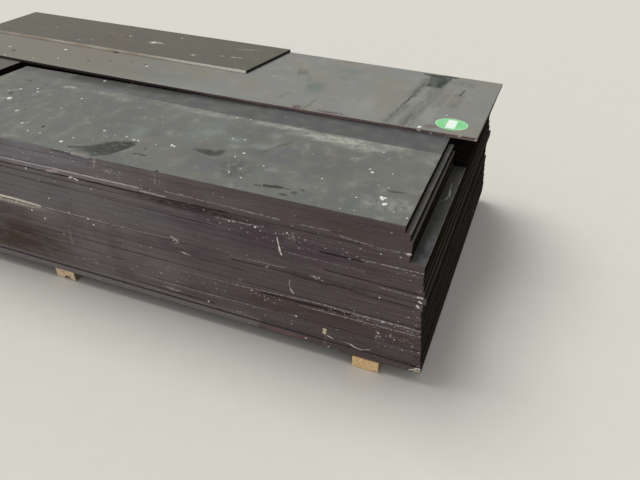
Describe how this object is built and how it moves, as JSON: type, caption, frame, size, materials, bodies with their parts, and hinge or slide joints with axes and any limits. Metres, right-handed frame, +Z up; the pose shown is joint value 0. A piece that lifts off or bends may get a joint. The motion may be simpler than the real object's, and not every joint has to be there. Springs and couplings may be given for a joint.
{
  "type": "stack of plywood sheets",
  "caption": "Stack of film-faced plywood sheets and cut pieces lying on timber bearers, stored flat as raw stock.",
  "frame": {"origin": "on the floor, under the middle of the stack's overall box", "axes": "+X along the sheets' length to the right end, +Y from the front edge to the back, +Z up"},
  "size_m": [2.5682, 1.26, 0.6335],
  "materials": {
    "film_faced_ply": "dusty dark brown phenolic film, worn dark edges",
    "thin_faced_ply": "dusty grey-brown phenolic film with stains",
    "raw_edged_ply": "dusty film face, raw pale sawn edge",
    "bearer_timber": "sawn softwood, weathered",
    "label_vinyl": "green paper label, scuffed"
  },
  "bodies": {
    "root": {"back_sheet_01": "film_faced_ply", "back_sheet_02": "film_faced_ply", "back_sheet_03": "film_faced_ply", "back_sheet_04": "film_faced_ply", "back_sheet_05": "film_faced_ply", "bearer_left": "bearer_timber", "bearer_middle": "bearer_timber", "bearer_right": "bearer_timber", "front_sheet_01": "film_faced_ply", "front_sheet_02": "film_faced_ply", "front_sheet_03": "film_faced_ply", "front_sheet_04": "film_faced_ply", "front_sheet_05": "film_faced_ply", "full_sheet_01": "film_faced_ply", "full_sheet_02": "film_faced_ply", "full_sheet_03": "film_faced_ply", "full_sheet_04": "film_faced_ply", "full_sheet_05": "film_faced_ply", "full_sheet_06": "film_faced_ply", "full_sheet_07": "film_faced_ply", "full_sheet_08": "film_faced_ply", "full_sheet_09": "film_faced_ply", "full_sheet_10": "film_faced_ply", "full_sheet_11": "film_faced_ply", "full_sheet_12": "film_faced_ply", "full_sheet_13": "film_faced_ply", "full_sheet_14": "film_faced_ply", "full_sheet_15": "film_faced_ply", "full_sheet_16": "film_faced_ply", "full_sheet_17": "film_faced_ply", "full_sheet_18": "film_faced_ply", "offcut_01": "film_faced_ply", "offcut_02": "film_faced_ply", "offcut_03": "film_faced_ply", "offcut_04": "film_faced_ply", "offcut_05": "film_faced_ply", "oval_label": "label_vinyl", "top_board": "thin_faced_ply", "top_strip": "raw_edged_ply"}
  },
  "joints": []
}
